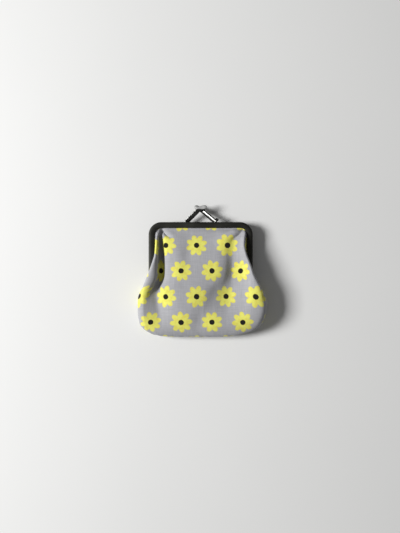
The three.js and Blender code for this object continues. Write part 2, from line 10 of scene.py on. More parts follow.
import bpy
import numpy as np
from bpy.props import FloatProperty, FloatVectorProperty, IntProperty, PointerProperty
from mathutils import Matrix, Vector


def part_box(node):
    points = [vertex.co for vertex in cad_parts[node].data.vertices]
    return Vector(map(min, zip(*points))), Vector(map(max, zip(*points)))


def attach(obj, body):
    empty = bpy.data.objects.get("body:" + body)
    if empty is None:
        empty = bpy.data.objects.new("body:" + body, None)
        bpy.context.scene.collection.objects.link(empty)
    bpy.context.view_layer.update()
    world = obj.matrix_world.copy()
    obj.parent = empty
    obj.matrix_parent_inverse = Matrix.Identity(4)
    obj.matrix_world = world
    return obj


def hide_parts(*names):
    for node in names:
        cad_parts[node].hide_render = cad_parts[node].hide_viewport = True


bl_info = {
    "name": "Kiss-lock coin pouch",
    "version": (1, 0, 0),
    "blender": (4, 5, 0),
    "location": "3D View > Sidebar > Pouch",
    "description": "Dresses the packed pouch: cloth, frame, clasp, rivets, floor, light and camera",
    "category": "Object",
}

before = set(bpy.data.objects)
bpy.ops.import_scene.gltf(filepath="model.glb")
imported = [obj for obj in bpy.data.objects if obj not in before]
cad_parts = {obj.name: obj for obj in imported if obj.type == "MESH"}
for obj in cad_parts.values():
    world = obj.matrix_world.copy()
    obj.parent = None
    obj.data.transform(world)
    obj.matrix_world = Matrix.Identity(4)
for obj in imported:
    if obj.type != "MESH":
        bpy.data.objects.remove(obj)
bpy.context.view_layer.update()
BODY = "root"
MM = 0.001
TINY = 1e-9

# Metal frame
FRAME_WIDTH = 83.5
FRAME_CORNER = 10.2
HALF_WIDTH = FRAME_WIDTH / 2
CORNER_REACH = HALF_WIDTH - FRAME_CORNER
FRAME_FACE = 4.8
FRAME_DEPTH = 3.8
FRAME_EDGE = 1.3
FRAME_CROWN = 0.22
LIP_ROUND = 0.3
PARTING_ROUND = 0.2
INSIDE_ROUND = 0.1
SHEET = 0.8
HALF_GAP = 0.2
ARM_DROP = 40.5
GAP = 0.3
INNER_REACH = HALF_WIDTH - FRAME_FACE
CORNER_STEPS = 28
ROUND_STEPS = 6
FACE_STEPS = 8
FRAME_SHARP_DEGREES = 34.0
SMALL_SHARP_DEGREES = 40.0

# Hinge lugs and rivets
HINGE_DROP = 44.0
LUG_TOP_DROP = 36.0
LUG_ROOT_RISE = HALF_GAP + FRAME_DEPTH - FRAME_EDGE
LUG_ROOT_INNER = 0.6
LUG_INSET = 0.05
LUG_ROUND = 0.15
EYE_RADIUS = 2.6
EYE_STEPS = 40
SHANK_STEPS = 6
RIVET_RADIUS = 1.0
RIVET_HEAD_RADIUS = 1.9
RIVET_HEAD = 0.8
RIVET_ROUND = 0.15
DOME_STEPS = 10
ROUND_SIDES = 40

# Clasp tongues
STRIP_WIDTH = 3.8
STRIP_THICKNESS = 1.0
STRIP_SQUARE = 0.45
STRIP_STEPS = 64
STRIP_SIDES = 40
TAPER_START = 0.88
TAPER_END = 0.995
TIP_THICKNESS = 0.45
BEND_SHARE = 0.72
BEND_BLEND = 0.16
BEND_RISE = -1.7
TIP_RISE = -3.2
# Heights above the frame's top edge over which the clasp's tips are painted paler: a painted reflection
# of their curled ends
TIP_REFLECTION_SPAN = (10.2, 11.0)
KNOB = {"place": (12.9, 1.9), "radius": 1.4, "half": 1.0, "square": 5.0, "latitude": 1.5}
ROLL_FADE = (0.72, 0.92)
CLASPS = (
    {
        "name": "clasp_front", "side": 1, "foot": 11.9, "bend": (0.9, 9.7), "tip": (-5.0, 13.2),
        "dome": 0.4, "roll": -26.0,
    },
    {
        "name": "clasp_back", "side": -1, "foot": -11.6, "bend": (-1.3, 10.3), "tip": (4.9, 12.4),
        "dome": 0.12, "roll": 9.0,
    },
)

# Blocks of a clasp's foot, above the bar and in its slot, and the block that cuts the slot, each as its
# middle above the bar's edge and its half sizes
FOOT_BLOCKS = ((0.4, (0.9, 0.4, 0.7)), (-0.7, (1.2, 1.1, 0.6)))
SLOT_BLOCK = (-SHEET / 2, (1.5, SHEET, 0.9))

# Cloth
SLOT_RISE = HALF_GAP + FRAME_DEPTH / 2
TUCK = 2.6
SEAM_RISE = GAP / 2
BELOW_PARTING = 7.4
CLOTH = 1.2
FLOOR_RISE = BELOW_PARTING - CLOTH / 2
MOUTH_DROP = FRAME_FACE + CLOTH / 2 + GAP
BOTTOM_DROP = 91.7
BEND_DROP = 70.0
SEAM_START_DROP = 48.2
CLOTH_SHARP_DEGREES = 60.0
FOLD_COLUMNS = ("brink", "at", "dip", "soft")


def columns(names, *rows):
    """Table written out by rows, as one array for each named column."""
    return dict(zip(names.split(), np.array(rows, float).T))


def rises(*rows):
    """Rise of a panel along its middle and its side rolls, level with the slot as far as the mouth."""
    in_slot = ((drop, SLOT_RISE, SLOT_RISE, SLOT_RISE) for drop in (TUCK, MOUTH_DROP))
    return columns("drop crown left right", *in_slot, *rows)


def valley(*rows):
    """Fold down one side of a panel."""
    return columns("drop " + " ".join(FOLD_COLUMNS), *rows)


def crease(*rows):
    """Soft fold along a bent line."""
    return columns("x drop width height", *rows)


# Outermost reach of the cloth on each side, seen from the front
OUTLINE = columns(
    "drop left right",
    (2.6, 33.8, 35.2),
    (9.0, 35.4, 36.4),
    (12.8, 36.2, 35.7),
    (18.4, 36.4, 35.3),
    (26.4, 37.0, 36.9),
    (32.0, 38.5, 39.0),
    (36.8, 40.1, 40.7),
    (42.4, 42.1, 42.5),
    (50.4, 45.3, 46.8),
    (58.4, 49.6, 51.5),
    (66.4, 50.5, 52.9),
    (74.4, 50.2, 51.8),
    (82.4, 48.4, 47.9),
    (86.6, 44.4, 42.0),
    (89.4, 39.4, 32.5),
)

# Where the bottom corners leave the side seam, and how the bottom seam curves up to them
CORNERS = {"left": {"drop": 86.6, "power": 6.5}, "right": {"drop": 85.8, "power": 4.2}}

# Edge of the cloth: in the arms' slots, inside the hinges, then out along the side seam
EDGE = columns(
    "drop reach rise",
    (38.0, HALF_WIDTH - TUCK, SLOT_RISE),
    (43.0, 37.2, 1.3),
    (SEAM_START_DROP, 37.6, SEAM_RISE),
    (51.0, 42.4, SEAM_RISE),
    (54.0, 46.4, SEAM_RISE),
    (58.4, 51.0, SEAM_RISE),
    (62.0, 60.0, SEAM_RISE),
)

# Folds down the sides of the panels: the wall's brink, the valley's reach (at) and depth (dip), and how
# soft the fold is, from 0 to 1
FRONT_LEFT = valley(
    (MOUTH_DROP, 34.2, 31.8, 0.8, 0.0),
    (9.0, 34.4, 31.6, 3.6, 0.0),
    (14.0, 34.6, 31.0, 7.4, 0.0),
    (22.0, 34.8, 30.0, 10.0, 0.0),
    (30.0, 35.3, 29.3, 11.2, 0.0),
    (37.0, 35.9, 29.1, 11.6, 0.0),
    (43.8, 36.4, 29.4, 11.6, 0.0),
    (48.5, 38.2, 30.8, 10.8, 0.0),
    (52.8, 40.6, 33.2, 8.6, 0.1),
    (57.0, 43.0, 35.0, 6.0, 0.6),
    (64.0, 44.6, 34.6, 4.4, 1.0),
    (72.0, 44.6, 33.2, 3.4, 1.0),
    (82.0, 43.4, 32.4, 1.6, 1.0),
    (90.0, 42.0, 32.0, 0.0, 1.0),
)
FRONT_RIGHT = valley(
    (MOUTH_DROP, 33.5, 31.0, 0.0, 0.0),
    (9.0, 34.6, 31.4, 0.6, 0.0),
    (14.0, 34.4, 28.4, 2.2, 0.0),
    (24.0, 35.6, 26.0, 3.6, 0.1),
    (31.0, 37.4, 25.6, 4.8, 0.0),
    (38.0, 39.4, 25.4, 5.8, 0.0),
    (46.0, 40.8, 25.0, 6.4, 0.3),
    (54.0, 41.4, 24.4, 6.6, 0.85),
    (63.0, 41.0, 23.2, 5.6, 1.0),
    (72.0, 40.0, 21.4, 3.4, 1.0),
    (82.0, 38.0, 21.0, 0.8, 1.0),
    (90.0, 37.0, 21.0, 0.0, 1.0),
)
BACK_LEFT = valley(
    (MOUTH_DROP, 33.0, 30.5, 0.0, 0.0),
    (16.0, 32.4, 30.0, 1.4, 0.0),
    (34.0, 33.5, 29.0, 1.2, 0.0),
    (58.0, 39.0, 34.0, 0.0, 1.0),
)
BACK_RIGHT = valley(
    (MOUTH_DROP, 33.0, 30.5, 0.0, 0.0),
    (16.0, 32.0, 29.6, 1.2, 0.0),
    (34.0, 33.0, 28.0, 1.8, 0.0),
    (58.0, 38.0, 33.0, 0.0, 1.0),
)

# Each panel keeps its rise between lowest and highest. It rounds down to the bottom seam from roll_drop
# on as a quarter ellipse, and to the side seams over roll_reach as a superellipse of roll_power. The
# crests of its side rolls are set in from the outline. Each point of a fold's wall is a share of the way
# from the brink to the valley, and each point of the panel a run from the valley towards the middle, with
# the share of the depth there, first for a sharp fold and then for a soft one.
FRONT = {
    "name": "pouch_front",
    "side": 1,
    "lowest": -2.6,
    "highest": 20.0,
    "roll_drop": 66.0,
    "roll_reach": 10.0,
    "roll_power": 4.0,
    "crest_set_in": 0.6,
    "shape": rises(
        (8.2, 3.1, 2.4, 4.9),
        (10.0, 3.8, 4.2, 6.1),
        (14.0, 5.2, 7.2, 8.2),
        (22.0, 6.9, 9.0, 10.2),
        (32.0, 8.5, 9.8, 11.2),
        (42.0, 10.0, 10.2, 11.8),
        (54.0, 11.2, 10.2, 12.0),
        (66.0, 11.6, 9.8, 11.6),
    ),
    "left": {
        "wall": ((0.0, 0.10, 0.0, 0.05), (0.32, 0.86, 0.5, 0.55)),
        "panel": ((0.8, 0.74, 4.0, 0.74), (1.7, 0.29, 9.0, 0.30), (9.0, 0.02, 15.0, 0.05)),
        "valley": FRONT_LEFT,
    },
    "right": {
        "wall": ((0.0, 0.05, 0.0, 0.03), (0.38, 0.70, 0.45, 0.60)),
        "panel": ((2.6, 0.78, 5.5, 0.82), (6.0, 0.34, 11.5, 0.42), (11.0, 0.06, 17.0, 0.10)),
        "valley": FRONT_RIGHT,
    },
}
SOFT_FOLD = {
    "wall": ((0.0, 0.12, 0.0, 0.12), (0.5, 0.6, 0.5, 0.6)),
    "panel": ((1.8, 0.8, 5.0, 0.8), (3.4, 0.35, 9.0, 0.35), (5.0, 0.1, 14.0, 0.1)),
}
BACK = {
    "name": "pouch_back",
    "side": -1,
    "lowest": SEAM_RISE,
    "highest": BELOW_PARTING,
    "roll_drop": 80.0,
    "roll_reach": 9.0,
    "roll_power": 2.0,
    "crest_set_in": 1.6,
    "shape": rises(
        (9.0, 3.2, 4.6, 4.6),
        (14.0, 5.0, 6.2, 6.2),
        (20.0, 6.4, FLOOR_RISE, FLOOR_RISE),
        (25.0, FLOOR_RISE, FLOOR_RISE, FLOOR_RISE),
        (80.0, FLOOR_RISE, FLOOR_RISE, FLOOR_RISE),
    ),
    "left": {**SOFT_FOLD, "valley": BACK_LEFT},
    "right": {**SOFT_FOLD, "valley": BACK_RIGHT},
}

# Soft folds: at each bend the half width of the fold and its height, or its depth below zero
FRONT_FOLDS = (
    crease(
        (35.0, 5.6, 0.8, 0.0),
        (33.4, 6.8, 1.0, -0.7),
        (30.8, 9.8, 1.2, -1.1),
        (26.4, 13.0, 1.8, -1.1),
        (21.0, 18.0, 3.2, 0.0),
    ),
    crease(
        (18.0, 42.0, 8.0, 0.0),
        (12.0, 53.0, 9.0, -1.5),
        (8.0, 63.0, 9.0, -1.9),
        (-0.5, 79.0, 7.5, -1.6),
        (-6.0, 87.0, 6.0, 0.0),
    ),
    crease((33.0, 4.8, 2.5, 0.0), (27.0, 9.2, 4.0, 1.4), (19.0, 14.2, 5.0, 1.2), (12.0, 20.0, 6.0, 0.0)),
    crease((27.4, 5.0, 0.9, 0.0), (23.5, 6.8, 0.9, -0.6), (18.0, 8.8, 1.2, 0.0)),
    crease(
        (-33.2, 5.6, 1.0, 0.0),
        (-31.6, 6.8, 1.1, -1.5),
        (-28.8, 9.1, 1.2, -2.0),
        (-26.0, 11.4, 1.2, -1.5),
        (-22.2, 13.4, 1.4, 0.0),
    ),
    crease((-29.0, 5.0, 1.2, 0.0), (-24.6, 8.4, 1.4, 0.3), (-19.6, 10.8, 1.6, 0.0)),
    crease((-9.0, 8.0, 4.0, 0.0), (-9.5, 24.0, 5.0, -0.7), (-9.0, 42.0, 6.0, 0.0)),
    crease((-22.0, 8.2, 1.5, 0.0), (4.0, 8.4, 1.5, 0.22), (24.0, 8.8, 1.5, 0.0)),
    crease((-4.0, 80.0, 3.0, 0.0), (8.0, 84.0, 3.5, 0.25), (20.0, 86.0, 3.0, 0.0)),
)
BACK_FOLDS = tuple(
    crease((hand * 33.0, 6.4, 1.2, 0.0), (hand * 28.0, 9.0, 1.4, 0.35), (hand * 22.0, 12.0, 1.6, 0.0))
    for hand in (1, -1)
)

# Fine rows of the cloth, columns between a section's points, and where its side becomes the seam's round
ROW_STEP = 0.6
ROLL_ROWS = 44
SECTION_COLUMNS = (3, 5, 6, 8, 4, 8, 8, 5, 6, 8, 20, 19)
LOWER_BLEND = (46.5, 53.0)
UPPER_BLEND = (50.0, 64.0)
CREST_DEGREES = 72
SIDE_POINTS = (
    ("lip", 14, LOWER_BLEND),
    ("turn", 30, LOWER_BLEND),
    ("wall", 50, UPPER_BLEND),
    ("crest", CREST_DEGREES, UPPER_BLEND),
)
LIP_CLEAR = 0.55
TURN_SET_BACK = 1.0
TURN_CLEAR = 0.1
LIP_REACH = INNER_REACH - LIP_CLEAR
TURN_REACH = LIP_REACH - TURN_SET_BACK
TURN_RISE = HALF_GAP + FRAME_DEPTH + CLOTH / 2 + TURN_CLEAR
TURN_FULL_DROP = 14.0
WALL_SHARE = 0.35
BRINK_LIMIT = 0.5
VALLEY_LIMIT = 2.2

# Seam of the two panels: where its relief fades in below the hinge, how far from it the cloth keeps to
# its own side of the parting plane, the groove, and the small puckers with the phases of their two sines
SEAM_FADE_IN = (SEAM_START_DROP + 2.0, SEAM_START_DROP + 10.0)
SEAM_HELD = 6.0
GROOVE_DEPTH = 0.45
GROOVE_WIDTH = 0.9
PUCKER_HEIGHT = 0.16
PUCKER_RUN = 6.4
PUCKER_WIDTH = 5.0
SIDE_PHASES = (0.0, 1.0)
BOTTOM_PHASES = (0.7, 0.0)

# Print and weave: shares of a blossom's radius, starts that keep the counts of cells and petals above
# zero, waver in millimetres, how much blossoms differ, and the threads' unevenness and shade
PETAL = {"centre": 0.60, "length": 0.40, "width": 0.25}
PETAL_EDGE = (0.94, 1.06)
HEART_EDGE = (0.44, 0.50)
MIDDLE_EDGE = (0.23, 0.27)
LATTICE_START = (40.12, 40.31)
TURN_START = 40.5
WAVER = 0.7
OWN_SIZE = 0.1
OWN_TURN = 3.0
SLUB_SCALE = 1.6
SLUB_STRETCH = 0.06
THREAD_SHADE = 0.06

# Stage: floor and lamp in metres, and the picture's middle (x, drop) about the frame
FLOOR_REACH = 6.0
FLOOR_BELOW = 0.0002
KEY_PLACE = (-1.19, 0.10, 0.97)
PICTURE_MIDDLE = (-0.56, 35.6)
SENSOR_WIDTH = 36.0

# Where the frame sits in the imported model
FRAME_LOW, FRAME_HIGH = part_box("frame_front")
ORIGIN = np.array([
    (FRAME_LOW.x + FRAME_HIGH.x) / 2,
    FRAME_HIGH.y,
    FRAME_HIGH.z - (HALF_GAP + FRAME_DEPTH) * MM,
])


def in_metres(points):
    """Points about the frame (x, minus drop, rise) in millimetres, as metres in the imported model."""
    return points * MM + ORIGIN


def smoothstep(value, low, high):
    """3t^2 - 2t^3 of the share t of the way from low to high."""
    t = np.clip((value - low) / (high - low), 0.0, 1.0)
    return t * t * (3.0 - 2.0 * t)


def part_way(start, end, share):
    """Start plus a share of the way from it to the end."""
    return start + (end - start) * share


def unit(vectors):
    """Vectors scaled to length 1."""
    return vectors / np.maximum(np.linalg.norm(vectors, axis=-1, keepdims=True), TINY)


def oval(angle, power=1.0):
    """Points of a unit superellipse: cosine and sine, each to a power and with its sign."""
    circle = np.stack([np.cos(angle), np.sin(angle)], axis=-1)
    return np.sign(circle) * np.abs(circle) ** power


def all_round(count, power=1.0):
    """So many points round a unit superellipse."""
    return oval(np.linspace(0.0, 2 * math.pi, count, endpoint=False), power)


def stacked(profile, ring, axis):
    """Rings of one shape along an axis: each row of the profile gives a ring's size and place."""
    size, place = np.asarray(profile, float).T
    flat = size[:, None, None] * ring
    return np.insert(flat, axis, np.broadcast_to(place[:, None], flat.shape[:2]), axis=-1)


def grid_faces(rows, count, closed_rows=False, closed_columns=False):
    """Quads between neighbouring points of a grid, carried round where the grid is closed."""
    r, c = np.meshgrid(
        np.arange(rows if closed_rows else rows - 1),
        np.arange(count if closed_columns else count - 1),
        indexing="ij",
    )
    below = (r + 1) % rows
    beside = (c + 1) % count
    corners = [r * count + c, r * count + beside, below * count + beside, below * count + c]
    return np.stack(corners, axis=-1).reshape(-1, 4)


def turned_out(points, *groups):
    """Faces of a closed shell, from arrays of faces with like numbers of corners, all turned round if the
    signed volume is negative: the sum of a . (b x c) over the triangles that fan out in each face."""
    volume = 0.0
    for faces in groups:
        volume += (points[faces[:, :1]] * np.cross(points[faces[:, 1:-1]], points[faces[:, 2:]])).sum()
    step = 1 if volume > 0 else -1
    return [face for faces in groups for face in faces[:, ::step].tolist()]


def swept(rings, hoop=False):
    """Closed solid through a row of like rings, with a flat face at each end, or joined to a hoop."""
    steps, count = rings.shape[:2]
    points = rings.reshape(-1, 3)
    ring = np.arange(count)
    caps = np.stack([ring[::-1], ring + (steps - 1) * count])
    sides = grid_faces(steps, count, hoop, True)
    return points, turned_out(points, sides) if hoop else turned_out(points, sides, caps)


def rounded_corners(corners, radii, steps):
    """Closed outline with square corners, each one taken round by an arc of its own radius."""
    corners = np.asarray(corners, float)
    come = unit(corners - np.roll(corners, 1, axis=0))
    leave = np.roll(come, -1, axis=0)
    radii = np.asarray(radii, float)[:, None]
    centres = corners + radii * (leave - come)
    angle = np.linspace(0.0, math.pi / 2, steps + 1)[:, None, None]
    arcs = centres - radii * leave * np.cos(angle) + radii * come * np.sin(angle)
    return arcs.transpose(1, 0, 2).reshape(-1, 2)


def new_object(name, points, faces, uv=None):
    """Mesh object at the origin, with its place in its points and, if it has one, a UV map in metres."""
    mesh = bpy.data.meshes.new(name)
    mesh.from_pydata(in_metres(points).tolist(), [], faces)
    if uv is not None:
        corner = np.zeros(len(mesh.loops), np.int32)
        mesh.loops.foreach_get("vertex_index", corner)
        layer = mesh.uv_layers.new(name="cloth")
        layer.data.foreach_set("uv", (uv[corner] * MM).astype(np.float32).ravel())
    mesh.validate()
    made = bpy.data.objects.new(name, mesh)
    bpy.context.scene.collection.objects.link(made)
    return made


def combined(piece, tool, operation):
    """Joins the tool into the piece, or cuts it out of it."""
    change = piece.modifiers.new(operation, "BOOLEAN")
    change.operation = operation
    change.object = tool
    change.solver = "EXACT"
    bpy.context.view_layer.update()
    depsgraph = bpy.context.evaluated_depsgraph_get()
    mesh = bpy.data.meshes.new_from_object(piece.evaluated_get(depsgraph))
    piece.modifiers.clear()
    old = piece.data
    piece.data = mesh
    bpy.data.meshes.remove(old)
    bpy.data.objects.remove(tool)
    if not len(mesh.polygons):
        raise RuntimeError(f"{piece.name} came out empty when its parts were put together")


def dressed(piece, material, node, sharp_degrees):
    """Gives a piece its finish and smooth shading, hangs it on the body it rides on, and hides the part
    of the model that it stands for.
    """
    mesh = piece.data
    mesh.shade_smooth()
    mesh.set_sharp_from_angle(angle=math.radians(sharp_degrees))
    mesh.materials.clear()
    mesh.materials.append(material)
    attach(piece, BODY)
    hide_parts(node)


def channel_outline():
    """Section of a channel (inset from the outer edge, rise): a C of sheet with rounded lips, the round
    of its outer edge, and a face that swells by a parabola across its width."""
    corners = [
        ((0.0, 0.0), PARTING_ROUND),
        ((FRAME_FACE, 0.0), LIP_ROUND),
        ((FRAME_FACE, SHEET), LIP_ROUND),
        ((SHEET, SHEET), INSIDE_ROUND),
        ((SHEET, FRAME_DEPTH - SHEET), INSIDE_ROUND),
        ((FRAME_FACE, FRAME_DEPTH - SHEET), LIP_ROUND),
        ((FRAME_FACE, FRAME_DEPTH), LIP_ROUND),
        ((0.0, FRAME_DEPTH), FRAME_EDGE),
    ]
    outline = rounded_corners(*zip(*corners), ROUND_STEPS)
    edge_start = len(outline) - ROUND_STEPS - 1
    share = np.linspace(0.0, 1.0, FACE_STEPS + 1)[1:-1, None]
    face = part_way(outline[edge_start - 1], outline[edge_start], share)
    outline = np.concatenate([outline[:edge_start], face, outline[edge_start:]])
    across = outline[:, 0] / FRAME_FACE
    on_face = smoothstep(outline[:, 1], FRAME_DEPTH - FRAME_EDGE, FRAME_DEPTH)
    outline[:, 1] += FRAME_CROWN * 4.0 * across * (1.0 - across) * on_face
    return outline


def frame_path():
    """Outer edge of the frame as points and inward directions: an arm, a quarter circle, the bar, a
    quarter circle and the other arm."""
    left = oval(np.linspace(math.pi, math.pi / 2, CORNER_STEPS + 1))
    right = left[::-1] * (-1.0, 1.0)
    centre = np.array([CORNER_REACH, -FRAME_CORNER])
    corners = np.concatenate([centre * (-1, 1) + FRAME_CORNER * left, centre + FRAME_CORNER * right])
    path = np.concatenate([[(-HALF_WIDTH, -ARM_DROP)], corners, [(HALF_WIDTH, -ARM_DROP)]])
    inward = -np.concatenate([[(-1.0, 0.0)], left, right, [(1.0, 0.0)]])
    return path, inward


def channel(side):
    """Channel of one frame half: its section carried along the frame's outer edge."""
    path, inward = frame_path()
    inset, rise = channel_outline().T
    plan = path[:, None] + inward[:, None] * inset[None, :, None]
    height = np.broadcast_to(side * (HALF_GAP + rise), plan.shape[:2])
    return swept(np.concatenate([plan, height[..., None]], axis=-1))


def lug(side, hand, inner_face, outer_face):
    """Hinge lug: a plate round the rivet's hole, whose rim follows the eye and runs up to a root in the
    arm. Each ring joins a point of the hole to the point of the rim in the same direction."""
    root = LUG_ROOT_RISE if side > 0 else LUG_ROOT_RISE + SHEET
    up = HINGE_DROP - LUG_TOP_DROP
    eye = EYE_RADIUS * oval(np.linspace(math.pi / 2, 2 * math.pi, EYE_STEPS))
    arm_end = (HINGE_DROP - ARM_DROP - LUG_INSET, root)
    corners = np.array([eye[-1], (up, LUG_ROOT_INNER), (up, root), arm_end, eye[0]])
    share = np.linspace(0.0, 1.0, SHANK_STEPS + 1)[1:, None, None]
    shank = part_way(corners[:-1], corners[1:], share).transpose(1, 0, 2).reshape(-1, 2)
    rim = np.concatenate([eye, shank[:-1]])
    along = unit(rim)
    hole = along * (RIVET_RADIUS + GAP)
    shy = rim - along * LUG_ROUND
    plan = np.stack([hole, shy, rim, rim, shy, hole], axis=1)
    low, high = inner_face + LUG_ROUND, outer_face - LUG_ROUND
    reach = np.broadcast_to([inner_face, inner_face, low, high, outer_face, outer_face], plan.shape[:2])
    rings = np.stack([hand * reach, plan[..., 0] - HINGE_DROP, side * plan[..., 1]], axis=-1)
    return swept(rings, hoop=True)


def block(centre, half, steps=8, power=6.0, shoulder=0.8, set_in=0.86):
    """Block with soft edges: superellipse rings, |x/a|^n + |z/c|^n = 1, along y, set in at both ends."""
    levels = ((set_in, -1.0), (1.0, -shoulder), (1.0, shoulder), (set_in, 1.0))
    return swept(stacked(levels, all_round(4 * steps, 2 / power), 1) * half + centre)


def hinge_rivet_shell(hand):
    """Rivet turned about the hinge axis: a flat head inside, the shank and a domed head outside."""
    outer = HALF_WIDTH + GAP
    inner = HALF_WIDTH - 2 * SHEET - 2 * GAP
    turn = np.linspace(0.0, math.pi / 2, DOME_STEPS + 1)[:-1]
    dome = oval(turn) * (RIVET_HEAD_RADIUS, RIVET_HEAD) + (0.0, outer)
    low = [
        (RIVET_HEAD_RADIUS - RIVET_ROUND, inner - RIVET_HEAD),
        (RIVET_HEAD_RADIUS, inner - RIVET_HEAD + RIVET_ROUND),
        (RIVET_HEAD_RADIUS, inner),
        (RIVET_RADIUS, inner),
        (RIVET_RADIUS, outer),
    ]
    profile = np.concatenate([low, dome]) * (1.0, hand)
    return swept(stacked(profile, all_round(ROUND_SIDES), 0) - (0.0, HINGE_DROP, 0.0))


def strip_shell(clasp):
    """Clasp strip: a flat section with a domed outer face, rolled a little about its length but level at
    its tip, and narrowed to a round end by a quarter ellipse. It is carried along two straight runs, from
    the foot to the bend and on to the tip, which pass into each other by a smoothstep."""
    corners = [(clasp["foot"], GAP, SLOT_RISE), (*clasp["bend"], BEND_RISE), (*clasp["tip"], TIP_RISE)]
    start, bend, tip = np.array(corners) * (1.0, 1.0, clasp["side"])
    t = np.sin(np.linspace(0.0, math.pi / 2, STRIP_STEPS + 1))[:, None]
    lower = part_way(start, bend, t / BEND_SHARE)
    upper = part_way(bend, tip, (t - BEND_SHARE) / (1.0 - BEND_SHARE))
    path = part_way(lower, upper, smoothstep(t, BEND_SHARE - BEND_BLEND, BEND_SHARE + BEND_BLEND))
    tangent = unit(np.gradient(path, axis=0))
    level = unit(np.cross((0.0, 0.0, 1.0), tangent))
    upright = np.cross(tangent, level)
    roll = math.radians(clasp["roll"]) * (1.0 - smoothstep(t, *ROLL_FADE))
    across = level * np.cos(roll) + upright * np.sin(roll)
    outward = upright * np.cos(roll) - level * np.sin(roll)
    past = np.clip((t - TAPER_START) / (1.0 - TAPER_START), 0.0, TAPER_END)
    taper = np.sqrt(1.0 - past**2)
    wide, thick = all_round(STRIP_SIDES, STRIP_SQUARE).T
    thick = thick * STRIP_THICKNESS / 2
    thick = thick + np.where(thick > 0, clasp["dome"] * (1.0 - wide**2), 0.0)
    rings = (
        path[:, None]
        + across[:, None] * (wide[None] * taper * STRIP_WIDTH / 2)[..., None]
        + outward[:, None] * (thick[None] * part_way(TIP_THICKNESS, 1.0, taper))[..., None]
    )
    return swept(rings)


def knob_shell(rise):
    """Round knob with a flat top: a superellipse of its radius and height, turned about an axis."""
    latitude = np.linspace(-KNOB["latitude"], KNOB["latitude"], 2 * DOME_STEPS + 1)
    profile = oval(latitude, 2.0 / KNOB["square"]) * (KNOB["radius"], KNOB["half"])
    return swept(stacked(profile, all_round(ROUND_SIDES), 2) + (*KNOB["place"], rise))


def along_table(table, column, drop):
    """Column of a table at any drops: a cubic Hermite curve through its rows. A row's slope is that of
    the chord between its neighbours, or none at the ends and where the column turns."""
    x, y = table["drop"], table[column]
    change = np.diff(y)
    slope = np.zeros_like(y)
    slope[1:-1] = np.where(change[1:] * change[:-1] > 0, (y[2:] - y[:-2]) / (x[2:] - x[:-2]), 0.0)
    drop = np.clip(drop, x[0], x[-1])
    i = np.clip(np.searchsorted(x, drop, side="right") - 1, 0, len(x) - 2)
    run = x[i + 1] - x[i]
    t = (drop - x[i]) / run
    bow = run * t * (1 - t) * ((1 - t) * slope[i] - t * slope[i + 1])
    return y[i] + (y[i + 1] - y[i]) * t * t * (3 - 2 * t) + bow


def corner_drop(reach, inset):
    """Drop of the line round inside the frame's corner at a given inset from its outer edge."""
    past = np.maximum(reach - CORNER_REACH, 0.0)
    radius = FRAME_CORNER - inset
    return FRAME_CORNER - np.sqrt(np.maximum(radius * radius - past * past, 0.0))


